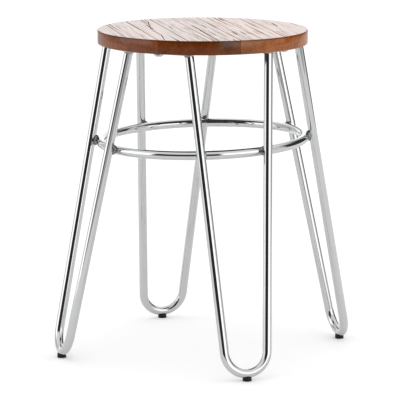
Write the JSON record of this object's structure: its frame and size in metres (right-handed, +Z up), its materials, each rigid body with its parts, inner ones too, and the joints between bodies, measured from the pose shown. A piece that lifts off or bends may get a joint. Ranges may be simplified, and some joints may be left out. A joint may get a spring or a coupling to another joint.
{
  "type": "low round stool with hairpin legs",
  "caption": "Low round stool: a glued plank seat bolted to bars across bent-rod hairpin legs, tied together by a welded ring that also takes the feet.",
  "frame": {"origin": "on the floor under the middle of the seat", "axes": "+Z up; legs stand on the +X, +Y, -X and -Y axes, the leg nearest the viewer on -Y"},
  "size_m": [0.435, 0.435, 0.466],
  "materials": {
    "wood_brown": "gloss varnish over rough-sawn brown hardwood",
    "wood_red": "gloss varnish over rough-sawn red-brown hardwood",
    "wood_dark": "gloss varnish over rough-sawn dark hardwood",
    "wood_orange": "gloss varnish over rough-sawn orange-brown hardwood",
    "chrome": "polished chrome plate on round steel rod and flat bar",
    "weld": "weld bead under the chrome plate",
    "zinc_steel": "dull zinc-plated steel",
    "brass": "turned brass",
    "black_rubber": "black moulded rubber"
  },
  "bodies": {
    "root": {"seat_stave_1": "wood_brown", "seat_stave_2": "wood_brown", "seat_stave_3": "wood_red", "seat_stave_4": "wood_red", "seat_stave_5": "wood_dark", "seat_stave_6": "wood_brown", "seat_stave_7": "wood_orange", "seat_stave_8": "wood_orange", "right_leg": "chrome", "back_leg": "chrome", "left_leg": "chrome", "front_leg": "chrome", "foot_ring": "chrome", "mounting_bar_back_right": "chrome", "mounting_bar_back_left": "chrome", "mounting_bar_front_left": "chrome", "mounting_bar_front_right": "chrome", "ring_weld_right_leg_1": "weld", "ring_weld_right_leg_2": "weld", "ring_weld_back_leg_1": "weld", "ring_weld_back_leg_2": "weld", "ring_weld_left_leg_1": "weld", "ring_weld_left_leg_2": "weld", "ring_weld_front_leg_1": "weld", "ring_weld_front_leg_2": "weld", "bar_weld_right_leg_1": "weld", "bar_weld_right_leg_2": "weld", "bar_weld_back_leg_1": "weld", "bar_weld_back_leg_2": "weld", "bar_weld_left_leg_1": "weld", "bar_weld_left_leg_2": "weld", "bar_weld_front_leg_1": "weld", "bar_weld_front_leg_2": "weld", "seat_bolt_back_right": "zinc_steel", "seat_bolt_back_left": "zinc_steel", "seat_bolt_front_left": "zinc_steel", "seat_bolt_front_right": "zinc_steel", "bolt_washer_back_right": "zinc_steel", "bolt_washer_back_left": "zinc_steel", "bolt_washer_front_left": "zinc_steel", "bolt_washer_front_right": "zinc_steel", "threaded_insert_back_right": "brass", "threaded_insert_back_left": "brass", "threaded_insert_front_left": "brass", "threaded_insert_front_right": "brass", "right_foot_pad": "black_rubber", "back_foot_pad": "black_rubber", "left_foot_pad": "black_rubber", "front_foot_pad": "black_rubber"}
  },
  "joints": []
}
